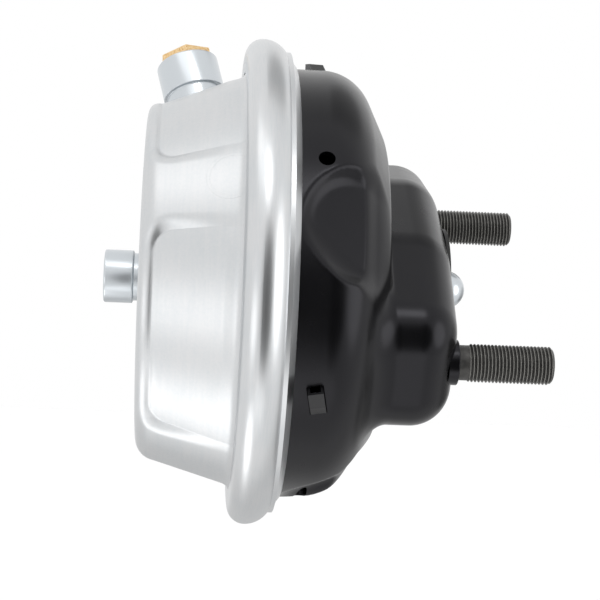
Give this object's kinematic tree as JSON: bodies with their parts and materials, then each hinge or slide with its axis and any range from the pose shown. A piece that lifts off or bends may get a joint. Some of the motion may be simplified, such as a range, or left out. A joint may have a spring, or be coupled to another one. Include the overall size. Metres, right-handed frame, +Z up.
{
  "type": "air brake chamber",
  "caption": "Air brake service chamber for a disc brake: plated cover, clamp ring, black stud-mounted housing and a sprung push rod with a ball end.",
  "frame": {"origin": "centre of the mounting face, on the chamber's axis", "axes": "+X along the chamber's axis, out of the mounting face towards the brake; +Z up; the lower stud lies 30 degrees below -Y"},
  "size_m": [0.1897, 0.2134, 0.215],
  "materials": {
    "zinc_steel": "pressed sheet steel, bright zinc plate, satin",
    "turned_steel": "turned steel, zinc plated",
    "brass": "turned brass, matt",
    "black_paint": "black satin paint",
    "phosphate_steel": "manganese phosphated steel",
    "bare_steel": "plain sheet steel",
    "spring_steel": "coated spring steel",
    "rubber": "nitrile rubber",
    "seal_rubber": "moulded seal",
    "black_plastic": "moulded polyamide"
  },
  "bodies": {
    "chamber": {"cover": "zinc_steel", "axial_port_boss": "turned_steel", "side_port_boss": "turned_steel", "side_port_seal": "seal_rubber", "side_port_plug": "brass", "clamp_ring": "zinc_steel", "diaphragm": "rubber", "housing": "black_paint", "neck_plate": "bare_steel", "stud_lower": "phosphate_steel", "stud_upper": "phosphate_steel", "stud_sleeve_lower": "black_paint", "stud_sleeve_upper": "black_paint", "return_spring": "spring_steel", "spring_seat": "black_plastic", "boot": "rubber", "boot_retainer": "bare_steel", "vent_flap_lower": "black_plastic", "vent_flap_top": "black_plastic", "vent_flap_rear": "black_plastic"},
    "push_rod": {"pressure_plate": "bare_steel", "push_rod": "bare_steel", "plate_rivet": "bare_steel", "ball_end": "turned_steel", "cuff_ring": "bare_steel"}
  },
  "joints": [
    {"name": "push_rod_stroke", "type": "slide", "parent": "chamber", "child": "push_rod", "axis": [1, 0, 0], "range_m": [0, 0.064], "stiffness_N_per_m": 1500, "springref_m": -0.06, "deforming": ["return_spring", "diaphragm", "boot"]}
  ]
}
